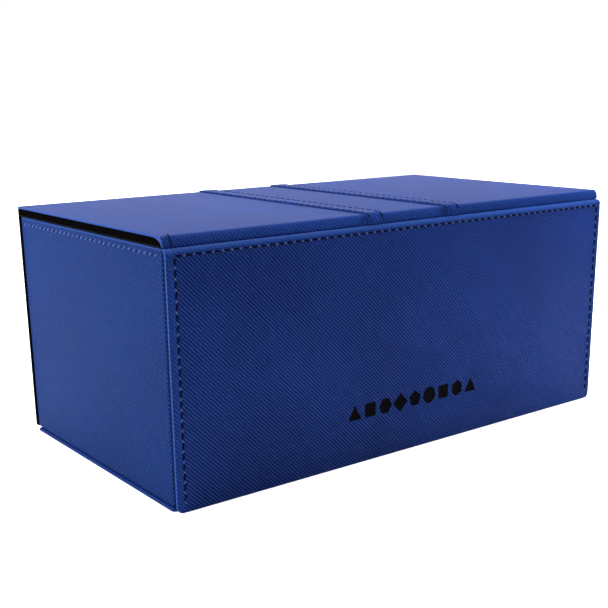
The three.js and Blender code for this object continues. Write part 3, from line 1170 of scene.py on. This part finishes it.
# %% Hem rows on the box
HEM_ROW = tray_high.z - 3.1 * MM
hem_places = []
for side in (-1, 1):
    wall = side * (tray_high.x + 0.02 * MM)
    ahead = Vector((wall, tray_low.y + 3 * MM, HEM_ROW))
    behind = Vector((wall, tray_high.y - 2.5 * MM, HEM_ROW))
    hem_places += along_row(ahead, behind, X * side)
wall = tray_low.y + 0.05 * MM
reach = tray_high.x - 4 * MM
hem_places += along_row(Vector((-reach, wall, HEM_ROW)), Vector((reach, wall, HEM_ROW)), -Y)
settle(sew("box_stitching", hemstitch, hem_places), None, "leatherette", "tray")
print("stitches on the box", len(hem_places))


# %% Rows over the lid
def over_lid(x, distance, growth):
    """A placement this far along the lid's skin, from its rear edge forwards and down the roll."""
    flat = LID_REAR - FLAT_FRONT
    if distance <= flat:
        point, angle = Vector((x, LID_REAR - distance, LID_TOP + growth)), 0
    else:
        angle = (distance - flat) / ROLL_LENGTH * math.pi / 2
        reach, rise = ROLL_DEPTH + growth, ROLL_RISE + growth
        point = Vector((x, FLAT_FRONT - reach * math.sin(angle), lid_low.z + rise * math.cos(angle)))
        angle = math.atan2(rise * math.sin(angle), reach * math.cos(angle))
    along = Vector((0, -math.cos(angle), -math.sin(angle)))
    out = Vector((0, -math.sin(angle), math.cos(angle)))
    return placement(point, along, out)


lid_places = []
flat_run = LID_REAR - FLAT_FRONT
strip_run = flat_run + ROLL_LENGTH * 0.8
for middle in (-SEAM_MIDDLE, SEAM_MIDDLE):
    for offset in (-ROW_OFFSET, ROW_OFFSET):
        for n in range(int(strip_run / STITCH_PITCH)):
            distance = strip_run - (n + 0.5) * STITCH_PITCH
            lid_places.append(over_lid(middle + offset, distance, SEAM_GROWTH - 0.08 * MM))
for n in range(2):
    lid_places.append(over_lid(STITCH_LEFT, flat_run + ROLL_LENGTH * (0.22 + 0.55 * n), 0.04 * MM))
settle(sew("lid_stitching", seamstitch, lid_places), None, "leatherette", "lid")
for spare in (topstitch, seamstitch, hemstitch):
    bpy.data.objects.remove(spare)
print("stitches on the lid", len(lid_places))

# %% [markdown]
# ## The foam inside
# Two trays of charcoal foam lie on each other, and each has rows of pockets for miniatures. Such a
# tray is a pierced block glued to a thin base, so here it is one block whose pockets are pushed down
# to the base. The block is sliced along the pocket walls, the pocket tops are extruded down, and the
# corners are rounded, because the cutting die leaves round corners and soft rims.


# %% Foam trays
def make_foam_tray(name, base, body, columns, rows, wall=8 * MM):
    low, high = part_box(base)[0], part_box(body)[1]
    floor_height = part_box(body)[0].z
    pocket = Vector(
        ((high.x - low.x - (columns + 1) * wall) / columns, (high.y - low.y - (rows + 1) * wall) / rows)
    )
    block = start_block(name, low, high)
    starts_x = [low.x + wall + n * (pocket.x + wall) for n in range(columns)]
    starts_y = [low.y + wall + n * (pocket.y + wall) for n in range(rows)]
    for start in starts_x:
        slice_at(block, [(start, 0, 0), (start + pocket.x, 0, 0)], X)
    for start in starts_y:
        slice_at(block, [(0, start, 0), (0, start + pocket.y, 0)], Y)

    def in_pocket(c):
        return any(s < c.x < s + pocket.x for s in starts_x) and any(
            s < c.y < s + pocket.y for s in starts_y
        )

    open_edit(block)
    count = pick(block, "FACE", lambda c, n: n.z > 0.9 and in_pocket(c))
    bpy.ops.mesh.extrude_region_move(
        TRANSFORM_OT_translate={"value": (0, 0, floor_height - high.z)}
    )
    middle = (floor_height + high.z) / 2
    pick(
        block, "EDGE",
        lambda c, e: near(c.z, middle) and abs(c.x) < high.x - MM and low.y + MM < c.y < high.y - MM,
    )
    bpy.ops.mesh.bevel(offset=4 * MM, segments=5)
    close_edit()
    round_edges(block, 1.1 * MM, 3)
    settle(block, charcoal_foam, "foam", "tray", (base, body))
    print(name, count, "pockets of", [round(v, 4) for v in pocket])


make_foam_tray("lower_foam", "lower_foam_base", "lower_foam_tray", 4, 2)
make_foam_tray("upper_foam", "upper_foam_base", "upper_foam_tray", 5, 2)

# %% [markdown]
# ## The pad in the lid
# A foam pad on the lid's lining presses on the miniatures. It is a soft slab with a crowned face and
# rounded edges. The face is inset a few times and each ring is lifted a little less than the one
# before, which gives the crown. Smooth shading then blends the rings into one curve.


# %% Lid pad
def make_lid_pad():
    low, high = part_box("lid_pad")
    crown = 0.9 * MM
    pad = start_block("lid_pad_foam", (low.x, low.y, low.z + crown), high)
    round_edges(pad, 1.0 * MM, 3)
    open_edit(pad)
    pick(pad, "FACE", lambda c, n: n.z < -0.99)
    for lift in (0.45 * MM, 0.28 * MM, 0.14 * MM):
        bpy.ops.mesh.inset(thickness=9 * MM)
        bpy.ops.transform.translate(value=(0, 0, -lift))
    close_edit()
    smooth(pad)
    settle(pad, charcoal_foam, "foam", "lid", ("lid_pad",))


make_lid_pad()

# %% [markdown]
# ## Paler borders and highlit edges
# On the border outside the stitches, on the hems and on the roll, the valleys carry less painted
# shade, so the grain reads paler there. The ridge and the outer edges are worn nearly smooth, and
# their pale colour is a painted highlight. Picking those faces by place keeps each border as wide as
# the stitching leaves it.

# %% Paler borders and highlit edges
# This skin's valleys carry less painted shade than the main skin's, so it reads paler.
less_shaded_leather = make_leatherette(
    "less_shaded_leatherette", (0.007, 0.032, 0.18), (0.02, 0.07, 0.37), cross=0.6, bump=0.3 * MM
)
# A nearly smooth skin whose pale colour is a painted highlight on the ridge and the outer edges.
smooth_highlit_leather = make_leatherette(
    "smooth_highlit_leatherette", (0.019, 0.062, 0.29), (0.031, 0.092, 0.39), cross=0.3, bump=0.05 * MM
)
# Less painted shade on the flap's border outside the stitches.
border = paint_faces(
    flap_facing, less_shaded_leather,
    lambda c, n: c.z > STITCH_TOP or c.x < STITCH_LEFT or c.x > STITCH_RIGHT,
)
# Less painted shade on the hem of the box skin.
hem = paint_faces(box_skin, less_shaded_leather, lambda c, n: c.z > HEM_ROW)
# Painted highlight on the flap's ridge and on its side edges.
RIDGE_FOOT = flap_high.z - 1.7 * MM
highlit = paint_faces(
    flap_facing, smooth_highlit_leather, lambda c, n: abs(n.x) > 0.5 or c.z > RIDGE_FOOT
)
# Painted highlight on the top rim of the box skin and on its rear ends.
highlit += paint_faces(
    box_skin, smooth_highlit_leather,
    lambda c, n: c.z > tray_high.z - 1.5 * MM or (abs(n.x) > 0.6 and c.y > tray_high.y - 0.7 * MM),
)


def on_the_roll(c, n):
    return c.y < FLAT_FRONT - 0.3 * MM and c.z < LID_TOP + SEAM_GROWTH


# Less painted shade on the roll of the lid.
for piece in lid_panels + seams:
    paint_faces(piece, less_shaded_leather, on_the_roll)
# Painted highlight along the outer edges of the lid.
for panel in (lid_panels[0], lid_panels[2]):
    highlit += paint_faces(panel, smooth_highlit_leather, lambda c, n: abs(c.x) > lid_high.x - 0.36 * MM)
print("rubbed faces", highlit, "border faces", border, "hem faces", hem)

# %% [markdown]
# ## The size
# The visual model must stay as big as the CAD model, so the box round all that is drawn is measured.

# %% Sizes
low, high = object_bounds()
